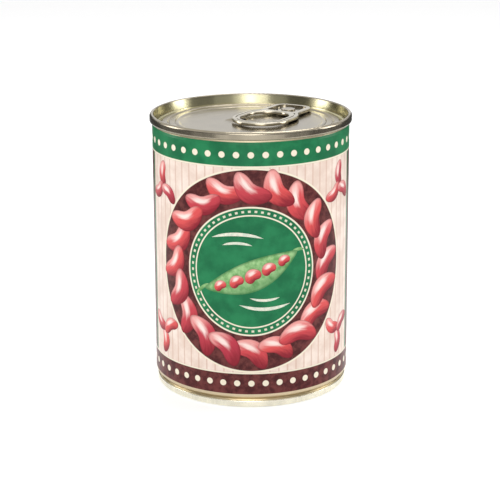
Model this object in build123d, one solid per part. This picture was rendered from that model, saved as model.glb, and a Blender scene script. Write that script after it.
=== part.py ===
from build123d import *
import math
import os

# Shut food can with an easy-open lid and a necked-in foot.
# Millimetres, +Z up, origin at the middle of the resting face.

# Can body
can_height = 103.0
body_radius = 36.65
wall = 0.3                  # sheet that stands beside each end's plug

# Neck under the lid's seam
top_neck_step = 0.35        # how far the neck stands in from the body
top_neck_length = 0.7
top_shoulder_length = 0.9
top_neck_round = 0.9

# Neck-in above the foot's seam, so that cans stack
foot_neck_step = 1.55
foot_neck_length = 0.35
foot_shoulder_length = 1.65
foot_shoulder_round = 1.5
foot_neck_round = 0.25

# Lid: double seam, chuck wall, countersink and panel
lid_seam_overhang = 1.3     # past the neck under it
lid_seam_height = 3.0
lid_seam_thickness = 1.35
lid_seam_round = 0.95       # outer edge of its crest
lid_crest_round = 0.4       # inner edge of its crest
lid_hem_round = 0.75        # lower edge
chuck_lean = 0.8            # how far the chuck wall leans in on its way down
countersink_depth = 4.3
countersink_width = 2.1
countersink_round = 0.8
panel_edge_lean = 0.35
panel_edge_round = 0.45
land_depth = 3.1            # the panel's raised outer ring, below the crest
land_width = 1.9
panel_step = 0.35           # the panel's main level, below that ring
step_round = 0.3
score_inset = 0.35          # of the score's middle, from the foot of the panel's step
score_width = 0.5
score_depth = 0.2
lid_bead_inset = 3.55       # from the same foot
lid_bead_width = 2.0
lid_bead_height = 0.3
end_thickness = 1.1         # metal left under a countersink
bead_root = 0.3             # how far a bead or score reaches past the level it stands on
run_margin = 0.02           # share of a run left straight between two roundings

# Finger well pressed into the lid's panel
well_length = 17.0
well_width = 9.5
well_depth = 0.95
well_offset = 3.4           # from the lid's centre, away from the rivet

# Foot: double seam and recessed panel
foot_seam_overhang = 1.0    # past the neck above it
foot_seam_height = 2.4
foot_seam_thickness = 1.45
foot_seam_round = 0.42
foot_hem_round = 0.35       # its upper edge
foot_countersink_depth = 4.4
foot_panel_depth = 3.4
foot_bead_insets = (4.9, 10.9)
foot_bead_width = 2.6
foot_bead_height = 0.55

# Ring tab, turned a little about its rivet
tab_length = 39.0
tab_turn = 60.0             # degrees from +X to its nose
ring_width = 22.0
ring_stretch = 6.0          # straight part of the ring's sides
ring_rim = 3.2
hole_to_rivet = 8.3         # from the finger hole's near end to the rivet's axis
hole_roundness = 0.49       # corner radius as a share of the hole's lesser width
nose_width = 15.6
nose_corner_radius = 4.6
nose_crown = 0.8            # the nose's middle stands this far past its corners
waist_round = 6.0
tab_thickness = 1.3
tab_edge_round = 0.55
tab_plate_thickness = 0.4
tab_rim_width = 1.9
tab_underside_gap = 0.1     # over the lid's raised outer ring
valley_width = 0.5          # groove between the ring's two curls
valley_depth = 0.2
web_length = 1.7            # raised band behind the finger hole
plate_corner_round = 1.5
lance_radius = 4.3
lance_width = 0.7
lance_angle = 230.0
corner_margin = 1.0         # kept clear of other corners when the waist's corners are picked

# Rivet, drawn up from the lid's own metal
rivet_inset = 9.35          # from the foot of the panel's step
rivet_direction = 48.0      # degrees from +X
rivet_from_nose = 7.3
rivet_shank_radius = 1.7
rivet_head_radius = 2.7
rivet_head_height = 0.55
rivet_head_round = 0.3
rivet_clearance = 0.05
boss_radius = 3.5

# Radii that follow from the sizes above, from the body inwards
top_neck_radius = body_radius - top_neck_step
lid_seam_radius = top_neck_radius + lid_seam_overhang
lid_crest_inner = lid_seam_radius - lid_seam_thickness
lid_groove_outer = lid_crest_inner - chuck_lean
lid_groove_inner = lid_groove_outer - countersink_width
land_outer = lid_groove_inner - panel_edge_lean
land_inner = land_outer - land_width
lid_panel_radius = land_inner - panel_step
lid_plug_radius = top_neck_radius - wall
score_radius = lid_panel_radius - score_inset
lid_bead_radius = lid_panel_radius - lid_bead_inset
rivet_from_centre = lid_panel_radius - rivet_inset
foot_neck_radius = body_radius - foot_neck_step
foot_seam_radius = foot_neck_radius + foot_seam_overhang
foot_seam_inner = foot_seam_radius - foot_seam_thickness
foot_groove_outer = foot_seam_inner - chuck_lean
foot_groove_inner = foot_groove_outer - countersink_width
foot_panel_radius = foot_groove_inner - panel_edge_lean
foot_plug_radius = foot_neck_radius - wall

# Levels that follow
lid_seam_bottom = can_height - lid_seam_height
land_level = can_height - land_depth
panel_level = land_level - panel_step
lid_groove_level = can_height - countersink_depth
lid_underside = lid_groove_level - end_thickness
foot_groove_level = foot_countersink_depth
foot_top = foot_groove_level + end_thickness
tab_bottom = land_level + tab_underside_gap
tab_top = tab_bottom + tab_thickness
plate_top = tab_bottom + tab_plate_thickness

# Places on the tab and of its rivet
ring_centre = rivet_from_nose - tab_length + ring_width / 2
hole_start = rivet_from_nose - tab_length + ring_rim
hole_end = -hole_to_rivet
rivet_x = rivet_from_centre * math.cos(math.radians(rivet_direction))
rivet_y = rivet_from_centre * math.sin(math.radians(rivet_direction))


def turned(corners):
    """Solid of revolution about Z from (radius, height, rounding) corners, in order.

    Where a run is too short for the roundings at both its ends, they shrink to fit it.
    """
    points = [Vector(radius, height) for radius, height, rounding in corners]
    runs = [after - point for point, after in zip(points, points[1:] + points[:1])]
    reaches = []
    for index, (radius, height, rounding) in enumerate(corners):
        turn = runs[index - 1].get_angle(runs[index])
        reaches.append(rounding * math.tan(math.radians(turn / 2)))
    fits = []
    for run, reach, next_reach in zip(runs, reaches, reaches[1:] + reaches[:1]):
        fits.append(run.length / max(run.length, (1 + run_margin) * (reach + next_reach)))
    roundings = [corner[2] * min(fits[index - 1], fits[index]) for index, corner in enumerate(corners)]
    outline = FilletPolyline(*points, radius=roundings, close=True)
    return revolve(Plane.XZ * make_face(outline), Axis.Z)


def bead(radius, width, height, level):
    """Ring with an arched top, standing on a level; a negative height turns it upside down."""
    reach = math.copysign(bead_root, height)
    rise = ThreePointArc((radius - width / 2, level), (radius, level + height), (radius + width / 2, level))
    base = Polyline(
        (radius + width / 2, level),
        (radius + width / 2, level - reach),
        (radius - width / 2, level - reach),
        (radius - width / 2, level),
    )
    return revolve(Plane.XZ * make_face(rise + base), Axis.Z)


def make_body():
    return turned([
        (0, foot_top, 0),
        (foot_plug_radius, foot_top, 0),
        (foot_plug_radius, foot_seam_height, 0),
        (foot_neck_radius, foot_seam_height, 0),
        (foot_neck_radius, foot_seam_height + foot_neck_length, foot_neck_round),
        (body_radius, foot_seam_height + foot_neck_length + foot_shoulder_length, foot_shoulder_round),
        (body_radius, lid_seam_bottom - top_neck_length - top_shoulder_length, top_neck_round),
        (top_neck_radius, lid_seam_bottom - top_neck_length, top_neck_round),
        (top_neck_radius, lid_seam_bottom, 0),
        (lid_plug_radius, lid_seam_bottom, 0),
        (lid_plug_radius, lid_underside, 0),
        (0, lid_underside, 0),
    ])


def make_lid():
    lid = turned([
        (0, lid_underside, 0),
        (lid_plug_radius, lid_underside, 0),
        (lid_plug_radius, lid_seam_bottom, 0),
        (lid_seam_radius, lid_seam_bottom, lid_hem_round),
        (lid_seam_radius, can_height, lid_seam_round),
        (lid_crest_inner, can_height, lid_crest_round),
        (lid_groove_outer, lid_groove_level, countersink_round),
        (lid_groove_inner, lid_groove_level, countersink_round),
        (land_outer, land_level, panel_edge_round),
        (land_inner, land_level, step_round),
        (lid_panel_radius, panel_level, step_round),
        (0, panel_level, 0),
    ])
    lid += bead(lid_bead_radius, lid_bead_width, lid_bead_height, panel_level)
    lid -= bead(score_radius, score_width, -score_depth, panel_level)
    lid -= finger_well()
    return lid + rivet()


def finger_well():
    """Shallow boat-shaped dish across the line from the lid's centre to the rivet."""
    dish_radius = (well_width ** 2 / 4 + well_depth ** 2) / (2 * well_depth)
    half = (well_length - well_width) / 2
    dish = Rotation(90, 0, 0) * Cylinder(dish_radius, 2 * half)
    dish += Pos(0, half, 0) * Sphere(dish_radius)
    dish += Pos(0, -half, 0) * Sphere(dish_radius)
    place = Rotation(0, 0, rivet_direction) * Pos(-well_offset, 0, panel_level - well_depth + dish_radius)
    return place * dish


def rivet():
    """Boss, shank and flattened head on the rivet's own axis."""
    button = turned([
        (0, panel_level - end_thickness / 2, 0),
        (boss_radius, panel_level - end_thickness / 2, 0),
        (boss_radius, tab_bottom, 0),
        (rivet_shank_radius, tab_bottom, 0),
        (rivet_shank_radius, plate_top, 0),
        (rivet_head_radius, plate_top, 0),
        (rivet_head_radius, plate_top + rivet_head_height, rivet_head_round),
        (0, plate_top + rivet_head_height, 0),
    ])
    return Pos(rivet_x, rivet_y, 0) * button


def make_foot():
    foot = turned([
        (0, foot_top, 0),
        (foot_plug_radius, foot_top, 0),
        (foot_plug_radius, foot_seam_height, 0),
        (foot_seam_radius, foot_seam_height, foot_hem_round),
        (foot_seam_radius, 0, foot_seam_round),
        (foot_seam_inner, 0, foot_seam_round),
        (foot_groove_outer, foot_groove_level, countersink_round),
        (foot_groove_inner, foot_groove_level, countersink_round),
        (foot_panel_radius, foot_panel_depth, panel_edge_round),
        (0, foot_panel_depth, 0),
    ])
    for inset in foot_bead_insets:
        foot += bead(foot_panel_radius - inset, foot_bead_width, -foot_bead_height, foot_panel_depth)
    return foot


def tab_outline():
    """Ring and nose in plan, the rivet at the origin and the nose towards +X."""
    ring = Pos(ring_centre + ring_stretch / 2, 0) * SlotCenterToCenter(ring_stretch, ring_width)
    nose_length = rivet_from_nose - ring_centre
    nose = Pos(ring_centre + nose_length / 2, 0) * Rectangle(nose_length, nose_width)
    crown_radius = (nose_width ** 2 / 4 + nose_crown ** 2) / (2 * nose_crown)
    nose &= Pos(rivet_from_nose - crown_radius, 0) * Circle(crown_radius)
    nose = fillet(nose.vertices().sort_by(Axis.X)[-2:], nose_corner_radius)
    outline = ring + nose
    ring_end = ring_centre + ring_stretch + corner_margin
    nose_start = rivet_from_nose - nose_crown - nose_corner_radius - corner_margin
    waist = outline.vertices().filter_by_position(Axis.X, ring_end, nose_start)
    return fillet(waist, waist_round)


def lance():
    """Curved slot round the rivet, open towards the nose."""
    outer = lance_radius + lance_width / 2
    inner = lance_radius - lance_width / 2
    band = Circle(outer) - Circle(inner)
    open_half = math.radians((360 - lance_angle) / 2)
    far = 2 * outer
    mouth = Polygon(
        (0, 0),
        (far * math.cos(open_half), -far * math.sin(open_half)),
        (far * math.cos(open_half), far * math.sin(open_half)),
        align=None,
    )
    return band - mouth


def make_tab():
    outline = tab_outline()
    hole_length = hole_end - hole_start
    hole_width = ring_width - 2 * ring_rim
    hole_corner = hole_roundness * min(hole_length, hole_width)
    hole = Pos((hole_start + hole_end) / 2, 0) * RectangleRounded(hole_length, hole_width, hole_corner)

    tab = extrude(outline - hole, tab_thickness)
    rims = tab.faces().sort_by(Axis.Z)
    tab = fillet(rims[-1].edges() + rims[0].edges(), tab_edge_round)

    # Shallow valley between the ring's outer and inner curls
    valley = offset(outline, -(ring_rim - valley_width) / 2)
    valley -= offset(outline, -(ring_rim + valley_width) / 2)
    valley -= Pos(hole_end + ring_width / 2, 0) * Rectangle(ring_width, 2 * ring_width)
    tab -= Pos(0, 0, tab_thickness - valley_depth) * extrude(valley, tab_thickness)

    # Sunk plate inside the nose's curled rim
    pocket = offset(outline, -tab_rim_width)
    plate_start = hole_end + web_length
    pocket &= Pos(plate_start + tab_length / 2, 0) * Rectangle(tab_length, 2 * ring_width)
    pocket = fillet(pocket.vertices().sort_by(Axis.X)[:2], plate_corner_round)
    tab -= Pos(0, 0, tab_plate_thickness) * extrude(pocket, tab_thickness)

    # Slot round the rivet, and the rivet's own hole
    cuts = lance() + Circle(rivet_shank_radius + rivet_clearance)
    tab -= Pos(0, 0, -tab_thickness) * extrude(cuts, 3 * tab_thickness)
    return Pos(rivet_x, rivet_y, tab_bottom) * Rotation(0, 0, tab_turn) * tab


os.makedirs("parts", exist_ok=True)
export_step(make_body(), "parts/can_body.step")
export_step(make_lid(), "parts/lid.step")
export_step(make_tab(), "parts/ring_tab.step")
export_step(make_foot(), "parts/foot_end.step")
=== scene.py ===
import math
import random

import bmesh
import bpy
from mathutils import Matrix, Vector


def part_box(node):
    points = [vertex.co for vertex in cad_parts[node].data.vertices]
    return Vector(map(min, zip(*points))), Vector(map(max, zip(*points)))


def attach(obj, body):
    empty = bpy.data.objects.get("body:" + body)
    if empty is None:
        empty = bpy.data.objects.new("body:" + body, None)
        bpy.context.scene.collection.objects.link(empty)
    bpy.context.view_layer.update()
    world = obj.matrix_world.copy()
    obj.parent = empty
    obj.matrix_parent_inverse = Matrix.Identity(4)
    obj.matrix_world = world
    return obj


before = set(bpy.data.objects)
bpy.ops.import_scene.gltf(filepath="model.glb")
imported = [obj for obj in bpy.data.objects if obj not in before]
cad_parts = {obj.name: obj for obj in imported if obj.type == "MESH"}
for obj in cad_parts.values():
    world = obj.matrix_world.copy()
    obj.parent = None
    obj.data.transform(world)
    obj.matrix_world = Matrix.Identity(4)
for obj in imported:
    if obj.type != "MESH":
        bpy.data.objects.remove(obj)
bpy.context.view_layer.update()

mm = 0.001
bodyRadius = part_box("can_body")[1][0]
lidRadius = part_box("lid")[1][0]
halfRound = math.pi * bodyRadius / mm      # mm of arc from one medallion to the next
random.seed(7)


# Camera, floor, lamps and cards

studio = {
    "cameraDistance": 0.6,
    "cameraAim": 0.055,       # height it looks at
    "lookDown": 15.85,        # degrees
    "roll": -0.15,
    "lens": 113.9,
    "shiftX": -0.0021,
    "shiftY": -0.028,
    "floorTone": 0.86,
    "floorGlow": 0.33,
    "worldStrength": 0.62,
    "lamps": [
        # name, place, size, power, point it looks at
        ("frontFill", (-0.10, -0.95, 0.55), (0.7, 0.5), 3.4, (0, 0, 0.05)),
        ("frontStrip", (0.0, -1.1, 0.20), (0.26, 0.30), 0.55, (0, 0, 0.10)),
        ("leftSoftbox", (-0.85, 0.12, 0.30), (0.30, 0.6), 2.2, (0, 0, 0.05)),
        ("rightSoftbox", (0.85, 0.12, 0.30), (0.30, 0.6), 2.4, (0, 0, 0.05)),
        ("topSoftbox", (0.10, 0.25, 0.85), (0.5, 0.35), 2.2, (0, 0, 0.05)),
    ],
    "cards": [
        # name, first and last degree from the front, radius, bottom, top, grey
        ("rightFrontCard", 48, 84, 0.32, 0.095, 0.22, 0.22),
        ("rightFrontSoftCard", 22, 48, 0.32, 0.095, 0.22, 0.45),
        ("leftFrontCard", -48, -84, 0.32, 0.095, 0.22, 0.12),
        ("leftFrontSoftCard", -22, -48, 0.32, 0.095, 0.22, 0.38),
        ("rightBackCard", 116, 160, 0.32, 0.0, 0.20, 0.10),
        ("leftBackCard", -116, -160, 0.32, 0.0, 0.20, 0.10),
        ("rightLowCard", 64, 116, 0.30, 0.0, 0.092, 0.22),
        ("rightLowSoftCard", 36, 64, 0.30, 0.0, 0.092, 0.48),
        ("leftLowCard", -64, -116, 0.30, 0.0, 0.092, 0.22),
        ("leftLowSoftCard", -36, -64, 0.30, 0.0, 0.092, 0.48),
    ],
}


def addCamera():
    p = studio
    lookDown = math.radians(p["lookDown"])
    back = Vector((0, -math.cos(lookDown), math.sin(lookDown)))
    camera = bpy.data.objects.new("camera", bpy.data.cameras.new("camera"))
    bpy.context.scene.collection.objects.link(camera)
    camera.data.lens = p["lens"]
    camera.data.sensor_width = 36
    camera.data.shift_x = p["shiftX"]
    camera.data.shift_y = p["shiftY"]
    place = back * p["cameraDistance"] + Vector((0, 0, p["cameraAim"]))
    tip = Matrix.Rotation(math.pi / 2 - lookDown, 4, "X")
    roll = Matrix.Rotation(math.radians(p["roll"]), 4, "Z")
    camera.matrix_world = Matrix.Translation(place) @ tip @ roll
    bpy.context.scene.camera = camera


def addLamp(name, place, size, power, aim):
    lamp = bpy.data.objects.new(name, bpy.data.lights.new(name, "AREA"))
    bpy.context.scene.collection.objects.link(lamp)
    lamp.data.shape = "RECTANGLE"
    lamp.data.size, lamp.data.size_y = size
    lamp.data.energy = power
    lamp.location = place
    lamp.rotation_euler = (Vector(aim) - Vector(place)).to_track_quat("-Z", "Y").to_euler()


# A curved grey card that only reflections meet
def addCard(name, first, last, radius, low, high, grey):
    start = math.radians(first)
    mesh = bmesh.new()
    ends = [mesh.verts.new((radius * math.sin(start), -radius * math.cos(start), z)) for z in (low, high)]
    edge = mesh.edges.new(ends)
    bmesh.ops.spin(
        mesh, geom=ends + [edge], cent=(0, 0, 0), axis=(0, 0, 1), angle=math.radians(last - first), steps=24)
    data = bpy.data.meshes.new(name)
    mesh.to_mesh(data)
    mesh.free()
    card = bpy.data.objects.new(name, data)
    bpy.context.scene.collection.objects.link(card)
    card.visible_camera = False
    card.visible_diffuse = False
    card.visible_shadow = False
    paint = bpy.data.materials.new(name)
    paint.use_nodes = True
    shader = paint.node_tree.nodes["Principled BSDF"]
    shader.inputs["Base Color"].default_value = (0, 0, 0, 1)
    shader.inputs["Specular IOR Level"].default_value = 0.0
    shader.inputs["Emission Color"].default_value = (grey, grey, grey, 1)
    shader.inputs["Emission Strength"].default_value = 1.0
    data.materials.append(paint)


# Mask of the rays that see the background: camera, glossy and transmission
def seenDirectly(nodes, links):
    path = nodes.new("ShaderNodeLightPath")
    mask = path.outputs["Is Camera Ray"]
    for kind in ("Is Glossy Ray", "Is Transmission Ray"):
        either = nodes.new("ShaderNodeMath")
        either.operation = "MAXIMUM"
        links.new(mask, either.inputs[0])
        links.new(path.outputs[kind], either.inputs[1])
        mask = either.outputs[0]
    return mask


def addWorld():
    world = bpy.data.worlds.new("studio")
    bpy.context.scene.world = world
    world.use_nodes = True
    nodes, links = world.node_tree.nodes, world.node_tree.links
    background = nodes["Background"]
    background.inputs["Color"].default_value = (1, 1, 1, 1)
    strength = nodes.new("ShaderNodeMapRange")
    strength.inputs["To Min"].default_value = studio["worldStrength"]
    strength.inputs["To Max"].default_value = 1.0
    links.new(seenDirectly(nodes, links), strength.inputs["Value"])
    links.new(strength.outputs[0], background.inputs["Strength"])


def addFloor():
    mesh = bmesh.new()
    bmesh.ops.create_grid(mesh, x_segments=1, y_segments=1, size=1.5)
    data = bpy.data.meshes.new("floor")
    mesh.to_mesh(data)
    mesh.free()
    floor = bpy.data.objects.new("floor", data)
    bpy.context.scene.collection.objects.link(floor)
    floor.location.z = -0.2 * mm           # just clear of the foot
    paper = bpy.data.materials.new("floorPaper")
    paper.use_nodes = True
    nodes, links = paper.node_tree.nodes, paper.node_tree.links
    shader = nodes["Principled BSDF"]
    tone = studio["floorTone"]
    shader.inputs["Base Color"].default_value = (tone, tone, tone, 1)
    shader.inputs["Roughness"].default_value = 0.9
    shader.inputs["Emission Color"].default_value = (1, 1, 1, 1)
    glow = nodes.new("ShaderNodeMath")
    glow.operation = "MULTIPLY"
    glow.inputs[1].default_value = studio["floorGlow"]
    links.new(seenDirectly(nodes, links), glow.inputs[0])
    links.new(glow.outputs[0], shader.inputs["Emission Strength"])
    data.materials.append(paper)


addCamera()
addWorld()
addFloor()
for lamp in studio["lamps"]:
    addLamp(*lamp)
for card in studio["cards"]:
    addCard(*card)
bpy.context.scene.view_settings.view_transform = "Standard"
print("stage: camera, floor, lamps and cards placed")


# Helpers for materials

# A printed colour, given as 0 to 255 screen values, in linear light
def ink(red, green, blue):
    def linear(value):
        value /= 255
        return value / 12.92 if value <= 0.04045 else ((value + 0.055) / 1.055) ** 2.4
    return (linear(red), linear(green), linear(blue), 1.0)


# Short calls that add and join shader nodes
class Tree:
    def __init__(self, tree):
        self.nodes = tree.nodes
        self.links = tree.links

    def put(self, socket, value):
        if isinstance(value, bpy.types.NodeSocket):
            self.links.new(value, socket)
        elif isinstance(value, (int, float)) and socket.type in ("VECTOR", "RGBA"):
            socket.default_value = (value,) * len(socket.default_value)
        else:
            socket.default_value = value

    def math(self, operation, a, b=0.0, c=0.0):
        node = self.nodes.new("ShaderNodeMath")
        node.operation = operation
        for socket, value in zip(node.inputs, (a, b, c)):
            self.put(socket, value)
        return node.outputs[0]

    def times(self, a, b):
        return self.math("MULTIPLY", a, b)

    def plus(self, a, b):
        return self.math("ADD", a, b)

    def minus(self, a, b):
        return self.math("SUBTRACT", a, b)

    def away(self, x, y):
        return self.math("SQRT", self.plus(self.times(x, x), self.times(y, y)))

    # Paints colour over an under colour where the mask is 1
    def paint(self, under, mask, color):
        node = self.nodes.new("ShaderNodeMix")
        node.data_type = "RGBA"
        self.put(node.inputs["Factor"], mask)
        self.put(node.inputs["A"], under)
        self.put(node.inputs["B"], color)
        return node.outputs["Result"]

    def step(self, value, low, high, toLow=0.0, toHigh=1.0):
        node = self.nodes.new("ShaderNodeMapRange")
        node.interpolation_type = "SMOOTHSTEP"
        for name, given in (("Value", value), ("From Min", low), ("From Max", high)):
            self.put(node.inputs[name], given)
        self.put(node.inputs["To Min"], toLow)
        self.put(node.inputs["To Max"], toHigh)
        return node.outputs["Result"]

    def between(self, value, low, high, soft=0.12):
        above = self.step(value, low - soft, low + soft)
        return self.times(above, self.step(value, high + soft, high - soft))

    def join(self, x, y, z=0.0):
        node = self.nodes.new("ShaderNodeCombineXYZ")
        for socket, value in zip(node.inputs, (x, y, z)):
            self.put(socket, value)
        return node.outputs[0]

    def split(self, vector):
        node = self.nodes.new("ShaderNodeSeparateXYZ")
        self.links.new(vector, node.inputs[0])
        return node.outputs

    def coords(self):
        return self.nodes.new("ShaderNodeTexCoord").outputs["Object"]

    def noise(self, vector, scale, detail=2.0, roughness=0.5):
        node = self.nodes.new("ShaderNodeTexNoise")
        values = {"Vector": vector, "Scale": scale, "Detail": detail, "Roughness": roughness}
        for name, value in values.items():
            self.put(node.inputs[name], value)
        return node.outputs["Fac"]

    def bump(self, height, strength, distance):
        node = self.nodes.new("ShaderNodeBump")
        for name, value in (("Height", height), ("Strength", strength), ("Distance", distance)):
            self.put(node.inputs[name], value)
        return node.outputs["Normal"]

    def group(self, tree, values):
        node = self.nodes.new("ShaderNodeGroup")
        node.node_tree = tree
        for name, value in values.items():
            self.put(node.inputs[name], value)
        return node.outputs


def newMaterial(name):
    material = bpy.data.materials.new(name)
    material.use_nodes = True
    return material, Tree(material.node_tree), material.node_tree.nodes["Principled BSDF"]


def newGroup(name, inputs, outputs):
    group = bpy.data.node_groups.new(name, "ShaderNodeTree")
    for label, kind, value in inputs:
        socket = group.interface.new_socket(label, in_out="INPUT", socket_type="NodeSocket" + kind)
        if value is not None:
            socket.default_value = value
    for label, kind in outputs:
        group.interface.new_socket(label, in_out="OUTPUT", socket_type="NodeSocket" + kind)
    given = group.nodes.new("NodeGroupInput").outputs
    out = group.nodes.new("NodeGroupOutput").inputs
    return group, Tree(group), given, out


# Arc and height in mm on the wall; Arc starts again halfway round, Round doesn't
def makeWallWrap():
    outputs = [("Arc", "Float"), ("Height", "Float"), ("Round", "Float")]
    group, tree, _, out = newGroup("wallWrap", [], outputs)
    x, y, z = tree.split(tree.coords())
    angle = tree.math("ARCTAN2", x, tree.times(y, -1.0))
    folded = tree.math("WRAP", angle, math.pi / 2, -math.pi / 2)
    tree.put(out["Arc"], tree.times(folded, bodyRadius / mm))
    tree.put(out["Height"], tree.math("DIVIDE", z, mm))
    tree.put(out["Round"], tree.times(angle, bodyRadius / mm))
    return group


# A printed field of ink, slightly cloudy, with clouds of about Size mm
def makeInkMottle():
    group, tree, given, out = newGroup("inkMottle", [
        ("Dark", "Color", None), ("Light", "Color", None), ("Size", "Float", 6.0),
    ], [("Color", "Color")])
    cloud = tree.noise(tree.coords(), tree.math("DIVIDE", 1 / mm, given["Size"]), 5.0, 0.6)
    tree.put(out["Color"], tree.paint(given["Dark"], tree.step(cloud, 0.35, 0.68), given["Light"]))
    return group


sheetGrain = {
    "cloud": 90.0,            # noise scales, per metre
    "scuff": 900.0,
    "along": 120.0,           # fine streaks of the rolling
    "across": 1500.0,
    "scuffDepth": 0.04,
    "streakBump": 0.04,       # mm
}


# Rolled sheet: cloudy roughness and a fine grain for the normal
def makeRolledSheet():
    p = sheetGrain
    group, tree, given, out = newGroup("rolledSheet", [
        ("Cloud", "Float", 0.05), ("Base Roughness", "Float", 0.25),
    ], [("Tone", "Float"), ("Roughness", "Float"), ("Normal", "Vector")])
    coords = tree.coords()
    cloud = tree.noise(coords, p["cloud"], 3.0)
    scuff = tree.noise(coords, p["scuff"], 4.0, 0.7)
    rough = tree.plus(given["Base Roughness"], tree.times(tree.minus(cloud, 0.5), given["Cloud"]))
    tree.put(out["Roughness"], tree.plus(rough, tree.times(scuff, p["scuffDepth"])))
    x, y, z = tree.split(coords)
    along, across = p["along"], p["across"]
    rolling = tree.join(tree.times(x, along), tree.times(y, across), tree.times(z, along))
    streak = tree.noise(rolling, 1.0, 3.0)
    tree.put(out["Tone"], tree.plus(tree.times(cloud, 0.5), tree.times(streak, 0.5)))
    tree.put(out["Normal"], tree.bump(streak, 0.08, p["streakBump"] * mm))
    return group


wallWrap = makeWallWrap()
inkMottle = makeInkMottle()
rolledSheet = makeRolledSheet()


# The printed wall: pale ground, two bands, side stripes, a round medallion and bare margins

wallPrint = {
    "marginBottom": 5.2,      # bare metal below this height, mm
    "marginTop": 99.3,
    "bandLow": 13.6,          # top of the lower band
    "bandHigh": 90.2,         # foot of the upper band
    "bandLine": 0.55,         # thin line beside each band
    "dots": 22,               # on half the can's round
    "dotRadius": 1.15,
    "pinstripes": 34,
    "pinstripeHalf": 0.28,
    "sideHalf": 8.5,          # half the stripe between two medallions
    "middle": 51.9,           # height of the medallion's centre
    "radius": 23.6,
    "rimWidth": 14.0,         # dark ring that the wreath lies on
    "beads": 60,              # small beads inside its rim
    "weldHalf": 1.5,
    "green": (40, 128, 82),
    "greenShade": (26, 104, 66),
    "maroon": (72, 30, 32),
    "maroonLight": (112, 58, 56),
    "pale": (228, 206, 192),
    "paleLight": (244, 228, 216),
    "tan": (206, 168, 148),
    "cream": (240, 230, 208),
    "gold": (206, 190, 160),
    "roughness": 0.30,
    "sheen": 0.14,            # specular level of the varnish
    "varnishScale": 1400.0,   # noise scale, per metre
    "weldRoughness": 0.24,
}


def printField(tree, palette, dark, light, size):
    values = {"Dark": ink(*palette[dark]), "Light": ink(*palette[light]), "Size": size}
    return tree.group(inkMottle, values)["Color"]


def makeWallMaterial():
    p = wallPrint
    material, tree, shader = newMaterial("printedWall")
    wrap = tree.group(wallWrap, {})
    arc, height = wrap["Arc"], wrap["Height"]
    cream = ink(*p["cream"])
    maroon = printField(tree, p, "maroon", "maroonLight", 3.0)
    green = printField(tree, p, "greenShade", "green", 9.0)

    # pale ground with fine upright stripes
    color = printField(tree, p, "pale", "paleLight", 7.0)
    fromStripe = tree.math("PINGPONG", arc, halfRound / p["pinstripes"] / 2)
    stripe = tree.step(fromStripe, p["pinstripeHalf"] + 0.08, p["pinstripeHalf"] - 0.08)
    color = tree.paint(color, tree.times(stripe, 0.55), ink(*p["tan"]))

    # upright stripe between two medallions, edged in green
    fromSide = tree.minus(halfRound / 2, tree.math("ABSOLUTE", arc))
    color = tree.paint(color, tree.step(fromSide, p["sideHalf"] + 1.7, p["sideHalf"] + 1.5), green)
    color = tree.paint(color, tree.step(fromSide, p["sideHalf"] + 0.1, p["sideHalf"] - 0.1), maroon)

    # green band above, maroon band below, each with a thin line and a row of dots
    fromDot = tree.math("PINGPONG", arc, halfRound / p["dots"] / 2)
    bands = (
        (p["bandHigh"], 1, (p["bandHigh"] + p["marginTop"]) / 2, green),
        (p["bandLow"], -1, (p["bandLow"] + p["marginBottom"]) / 2, maroon),
    )
    for edge, side, rowHeight, field in bands:
        into = tree.times(tree.minus(height, edge), side)
        color = tree.paint(color, tree.step(into, -0.1, 0.1), field)
        color = tree.paint(color, tree.between(into, 0.0, p["bandLine"], 0.08), cream)
        fromCentre = tree.away(fromDot, tree.minus(height, rowHeight))
        dot = tree.step(fromCentre, p["dotRadius"] + 0.1, p["dotRadius"] - 0.1)
        color = tree.paint(color, dot, cream)

    # round green medallion on a maroon ring, with a cream ring and beads
    rise = tree.minus(height, p["middle"])
    reach = tree.away(arc, rise)
    rim = p["radius"] + p["rimWidth"]
    color = tree.paint(color, tree.step(reach, rim + 0.8, rim + 0.6), cream)
    color = tree.paint(color, tree.step(reach, rim + 0.1, rim - 0.1), maroon)
    color = tree.paint(color, tree.step(reach, p["radius"] + 0.7, p["radius"] + 0.5), cream)
    color = tree.paint(color, tree.step(reach, p["radius"] + 0.1, p["radius"] - 0.1), green)
    color = tree.paint(color, tree.between(reach, p["radius"] - 2.9, p["radius"] - 2.4, 0.08), cream)
    pulse = tree.math("SINE", tree.times(tree.math("ARCTAN2", rise, arc), p["beads"]))
    beadRing = tree.between(reach, p["radius"] - 1.6, p["radius"] - 0.8, 0.1)
    bead = tree.times(tree.step(pulse, 0.0, 0.5), beadRing)
    color = tree.paint(color, tree.times(bead, 0.85), cream)

    # bare metal above and below the print and along the welded seam on one side
    rolled = tree.group(rolledSheet, {"Base Roughness": p["weldRoughness"]})
    printed = tree.between(height, p["marginBottom"], p["marginTop"], 0.1)
    fromWeld = tree.math("ABSOLUTE", tree.minus(wrap["Round"], halfRound / 2))
    printed = tree.times(printed, tree.step(fromWeld, p["weldHalf"] - 0.1, p["weldHalf"] + 0.1))
    color = tree.paint(ink(*p["gold"]), printed, color)
    varnish = tree.noise(tree.coords(), wallPrint["varnishScale"], 2.0)
    tree.put(shader.inputs["Base Color"], color)
    tree.put(shader.inputs["Metallic"], tree.minus(1.0, printed))
    glaze = tree.step(varnish, 0.2, 0.8, p["roughness"] - 0.03, p["roughness"] + 0.05)
    cloudy = tree.times(tree.minus(rolled["Roughness"], p["weldRoughness"]), 0.5)
    tree.put(shader.inputs["Roughness"], tree.plus(glaze, cloudy))
    tree.put(shader.inputs["Normal"], tree.bump(varnish, 0.05, 0.03 * mm))
    shader.inputs["Specular IOR Level"].default_value = p["sheen"]
    return material


# Metal of the lid, the tab and the foot

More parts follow.
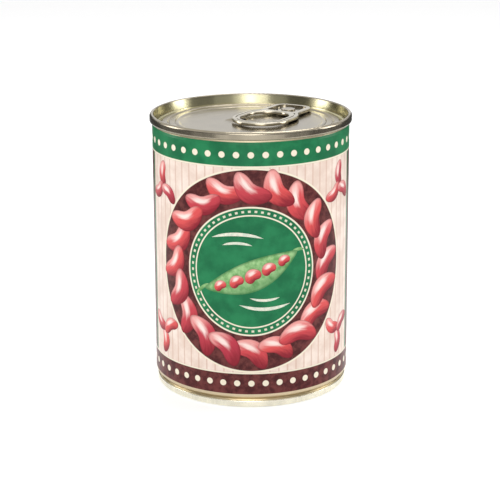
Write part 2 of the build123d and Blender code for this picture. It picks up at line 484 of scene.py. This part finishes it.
# The lid's second tint is a painted reflection: brighter and warmer on the wall inside its seam, the same
# sheet as the rest of the lid
lidMetal = {"tint": (160, 151, 133), "inner": (186, 180, 146), "roughness": 0.17, "cloud": 0.10}
seamWidth = 1.6               # mm from the lid's outer edge to the wall inside its seam
wallReflectionFade = (2.6, 1.2, -0.3)   # mm inwards from there: that wall's painted reflection starts, is full, has ended
tabMetal = {"tint": (196, 188, 170), "inner": None, "roughness": 0.16, "cloud": 0.06}
footMetal = {"tint": (238, 234, 216), "inner": None, "roughness": 0.24, "cloud": 0.08}


def makeMetal(name, finish):
    material, tree, shader = newMaterial(name)
    values = {"Cloud": finish["cloud"], "Base Roughness": finish["roughness"]}
    sheet = tree.group(rolledSheet, values)
    tint = ink(*finish["tint"])
    darker = tuple(value * 0.8 for value in tint[:3]) + (1.0,)
    color = tree.paint(darker, tree.step(sheet["Tone"], 0.3, 0.65), tint)
    if finish["inner"]:
        # painted reflection: a brighter, warmer tint on the wall inside the lid's seam, standing in for the
        # warm light that wall reflects
        x, y, z = tree.split(tree.coords())
        reach = tree.away(x, y)
        seamInner = lidRadius - seamWidth * mm
        start, full, end = (seamInner - away * mm for away in wallReflectionFade)
        inside = tree.step(reach, start, full)
        outside = tree.step(reach, end, seamInner)
        color = tree.paint(color, tree.times(inside, outside), ink(*finish["inner"]))
    tree.put(shader.inputs["Base Color"], color)
    shader.inputs["Metallic"].default_value = 1.0
    tree.put(shader.inputs["Roughness"], sheet["Roughness"])
    tree.put(shader.inputs["Normal"], sheet["Normal"])
    return material


def dress(node, material):
    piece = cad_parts[node]
    piece.data.materials.clear()
    piece.data.materials.append(material)


dress("can_body", makeWallMaterial())
dress("lid", makeMetal("lidLacquer", lidMetal))
dress("ring_tab", makeMetal("tabBright", tabMetal))
dress("foot_end", makeMetal("footLacquer", footMetal))
print("stage: metal and printed wall dressed")


# Motifs of thin ink on the wall

inkStep = 0.02                # mm between one layer of ink and the next
plainTone = (0.5, 0.5, 0.5, 1.0)


# One motif: a round grid, shaped by outline(x, y) in mm, turned, then wrapped on the wall
def addPatch(mesh, grid, outline, place, turn, layer, tone):
    fresh = bmesh.ops.create_grid(mesh, x_segments=grid[0], y_segments=grid[1], size=1.0)["verts"]
    uvLayer = mesh.loops.layers.uv.verify()
    colors = mesh.loops.layers.float_color
    toneLayer = colors.get("tone") or colors.new("tone")
    cosine, sine = math.cos(turn), math.sin(turn)
    ride = bodyRadius + layer * inkStep * mm
    local = {}
    for vertex in fresh:
        x, y = vertex.co.x, vertex.co.y
        x, y = x * math.sqrt(1 - y * y / 2), y * math.sqrt(1 - x * x / 2)
        local[vertex] = (0.5 + x / 2, 0.5 + y / 2)
        wide, tall = outline(x, y)
        angle = (place[0] + wide * cosine - tall * sine) * mm / bodyRadius
        height = (place[1] + wide * sine + tall * cosine) * mm
        vertex.co = (ride * math.sin(angle), -ride * math.cos(angle), height)
    for face in {face for vertex in fresh for face in vertex.link_faces}:
        face.smooth = True
        for loop in face.loops:
            loop[uvLayer].uv = local[loop.vert]
            loop[toneLayer] = tone


def hangPatches(name, mesh, material):
    data = bpy.data.meshes.new(name)
    mesh.to_mesh(data)
    mesh.free()
    piece = bpy.data.objects.new(name, data)
    bpy.context.scene.collection.objects.link(piece)
    data.materials.append(material)
    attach(piece, "root")
    print("stage:", name, "printed")


# The motif's own round coordinates, -1 to 1, and its three tone values
def motifCoords(tree):
    x, y, _ = tree.split(tree.nodes.new("ShaderNodeUVMap").outputs["UV"])
    attribute = tree.nodes.new("ShaderNodeAttribute")
    attribute.attribute_name = "tone"
    tone = tree.split(attribute.outputs["Color"])
    across, up = (tree.math("MULTIPLY_ADD", value, 2.0, -1.0) for value in (x, y))
    return across, up, tone


def finishInk(tree, shader, color):
    glaze = tree.noise(tree.coords(), wallPrint["varnishScale"], 2.0)
    rough = wallPrint["roughness"]
    tree.put(shader.inputs["Base Color"], color)
    tree.put(shader.inputs["Roughness"], tree.step(glaze, 0.2, 0.8, rough, rough + 0.06))
    shader.inputs["Specular IOR Level"].default_value = wallPrint["sheen"]


def beanOutline(length, width, bend):
    def outline(x, y):
        wide = x * length / 2
        notch = 1 - 0.28 * math.exp(-(x / 0.4) ** 2) if y < 0 else 1 - 0.08 * x * x
        return wide, y * notch * width / 2 - bend * wide * wide + bend * length * length / 12
    return outline


def stripOutline(length, width, bow=0.0):
    def outline(x, y):
        return x * length / 2, y * width / 2 + bow * (1 - x * x)
    return outline


# Full in the middle and drawn out to a point at both ends
def podOutline(length, width, bow):
    def outline(x, y):
        return x * length / 2, y * width / 2 * (1 - 0.55 * x * x) + bow * (1 - x * x)
    return outline


# Beans: a wreath round each medallion, a cluster in each corner and a row in each pod

beanPrint = {
    "wreathCount": 20,
    "wreathRadius": 30.9,
    "slant": 33,              # degrees between a bean and the wreath's line
    "length": 15.0,
    "width": 8.2,
    "bend": 0.036,
    "grid": (9, 7),
    "gleamAway": (0.34, 0.38),
    "gleamHalf": (0.62, 0.42),
    "corner": (38.8, 27.6),   # arc and height of a corner cluster from the medallion's centre
    "cornerReach": 4.4,
    "cornerSize": 0.66,
    "deep": (138, 38, 50),
    "red": (218, 84, 84),
    "rose": (186, 60, 76),
    "blush": (240, 172, 166),
    "shine": (255, 234, 226),
    "rim": (104, 28, 40),
}

podPrint = {
    "length": 37.0,
    "width": 11.5,
    "bow": -1.6,
    "turn": 22,               # degrees
    "grid": (24, 8),
    "stalkGrid": (12, 2),
    "stalkWidth": 1.3,
    "stalkOverlap": 2.2,      # how far stalk and tip reach into the pod
    "beans": 5,
    "beanLength": 6.4,
    "beanWidth": 5.2,
    "leaf": (108, 162, 96),
    "light": (168, 208, 148),
    "seam": (66, 122, 72),
    "cream": (240, 234, 216),
    "rub": (206, 218, 200),
}


def makeBeanMaterial():
    p = beanPrint
    material, tree, shader = newMaterial("printedBeans")
    x, y, tone = motifCoords(tree)
    lightX = tree.math("MULTIPLY_ADD", tone[1], 2.0, -1.0)
    lightY = tree.math("MULTIPLY_ADD", tone[2], 2.0, -1.0)
    grain = tree.join(tree.times(x, 2.0), tree.times(y, 5.0), tree.times(tone[0], 60.0))
    patchy = tree.times(tree.minus(tree.noise(grain, 1.0, 3.0), 0.5), 0.7)
    lit = tree.plus(tree.plus(tree.times(x, lightX), tree.times(y, lightY)), patchy)
    color = tree.paint(ink(*p["red"]), tree.step(tone[0], 0.2, 0.8), ink(*p["rose"]))
    color = tree.paint(ink(*p["deep"]), tree.step(lit, -0.9, 0.0), color)
    color = tree.paint(color, tree.times(tree.step(lit, 0.0, 0.8), 0.8), ink(*p["blush"]))
    # a broad soft gleam towards the light
    (awayX, awayY), (halfX, halfY) = p["gleamAway"], p["gleamHalf"]
    gleamX = tree.math("DIVIDE", tree.minus(x, tree.times(lightX, awayX)), halfX)
    gleamY = tree.math("DIVIDE", tree.minus(y, tree.times(lightY, awayY)), halfY)
    gleam = tree.step(tree.minus(tree.away(gleamX, gleamY), patchy), 1.1, 0.2)
    color = tree.paint(color, tree.times(gleam, 0.9), ink(*p["shine"]))
    edge = tree.step(tree.away(x, y), 0.88, 1.0)
    color = tree.paint(color, tree.times(edge, 0.45), ink(*p["rim"]))
    finishInk(tree, shader, color)
    return material


def addBean(mesh, place, turn, size, length, width, layer):
    # light from the upper left, in the bean's own directions
    light = math.radians(random.uniform(108, 130)) - turn
    tone = (random.random(), 0.5 + math.cos(light) / 2, 0.5 + math.sin(light) / 2, 1.0)
    outline = beanOutline(length * size, width * size, beanPrint["bend"])
    addPatch(mesh, beanPrint["grid"], outline, place, turn, layer, tone)


def makeBeans():
    p = beanPrint
    mesh = bmesh.new()
    middle = wallPrint["middle"]
    for start in (0, halfRound):
        for index in range(p["wreathCount"]):
            angle = 2 * math.pi * index / p["wreathCount"]
            reach = p["wreathRadius"] + random.uniform(-0.7, 0.7)
            place = (start + reach * math.cos(angle), middle + reach * math.sin(angle))
            turn = angle + math.radians(90 - p["slant"] + random.uniform(-7, 7))
            size = random.uniform(0.92, 1.08)
            addBean(mesh, place, turn, size, p["length"], p["width"], 2 + 2 * (index % 3))
        for across in (-1, 1):
            for up in (-1, 1):
                for petal in range(3):
                    turn = math.radians(90 + 120 * petal) * up
                    place = (
                        start + across * p["corner"][0] + p["cornerReach"] * math.cos(turn),
                        middle + up * p["corner"][1] + p["cornerReach"] * math.sin(turn),
                    )
                    addBean(mesh, place, turn, p["cornerSize"], p["length"], p["width"], 2 + petal)
        podTurn = math.radians(podPrint["turn"])
        for index in range(podPrint["beans"]):
            step = index - (podPrint["beans"] - 1) / 2
            away = step * podPrint["length"] / (podPrint["beans"] + 0.9)
            lift = podPrint["bow"] * (1 - (2 * away / podPrint["length"]) ** 2)
            place = (
                start + away * math.cos(podTurn) - lift * math.sin(podTurn),
                middle + away * math.sin(podTurn) + lift * math.cos(podTurn),
            )
            size = 1.0 - 0.12 * abs(step)
            addBean(mesh, place, podTurn + 0.25, size, podPrint["beanLength"], podPrint["beanWidth"], 8)
    hangPatches("printedBeans", mesh, makeBeanMaterial())


def makePodMaterial():
    p = podPrint
    material, tree, shader = newMaterial("printedPods")
    x, y, _ = motifCoords(tree)
    color = printField(tree, p, "leaf", "light", 2.5)
    color = tree.paint(color, tree.times(tree.step(y, 0.1, -0.9), 0.5), ink(*p["seam"]))
    color = tree.paint(color, tree.times(tree.step(tree.away(x, y), 0.84, 0.98), 0.7), ink(*p["seam"]))
    finishInk(tree, shader, color)
    return material


def makePods():
    p = podPrint
    mesh = bmesh.new()
    turn = math.radians(p["turn"])
    half = p["length"] / 2
    for start in (0, halfRound):
        for end, length, lean in ((-1, 7.0, 0.35), (1, 5.0, -0.3)):
            reach = half + length / 2 - p["stalkOverlap"]
            away = Vector((math.cos(turn), math.sin(turn))) * end * reach
            place = (start + away.x, wallPrint["middle"] + away.y)
            strip = stripOutline(length, p["stalkWidth"], 0.4)
            addPatch(mesh, p["stalkGrid"], strip, place, turn + lean, 2, plainTone)
        pod = podOutline(p["length"], p["width"], p["bow"])
        addPatch(mesh, p["grid"], pod, (start, wallPrint["middle"]), turn, 4, plainTone)
    hangPatches("printedPods", mesh, makePodMaterial())


# Cream flourishes above and below the pod

flourishes = [
    # arc, height from the medallion's centre, length, width, bow
    (-5.0, 12.4, 19.0, 1.3, 1.6),
    (-5.0, 9.8, 11.0, 1.0, 0.9),
    (5.0, -12.4, 19.0, 1.3, -1.6),
    (5.0, -9.8, 11.0, 1.0, -0.9),
]
flourishGrid = (16, 2)


def makeFlourishes():
    mesh = bmesh.new()
    for start in (0, halfRound):
        for arc, rise, length, width, bow in flourishes:
            strip = stripOutline(length, width, bow)
            place = (start + arc, wallPrint["middle"] + rise)
            addPatch(mesh, flourishGrid, strip, place, 0.0, 2, plainTone)
    material, tree, shader = newMaterial("printedFlourishes")
    finishInk(tree, shader, printField(tree, podPrint, "rub", "cream", 1.2))
    hangPatches("printedFlourishes", mesh, material)


makeBeans()
makePods()
makeFlourishes()
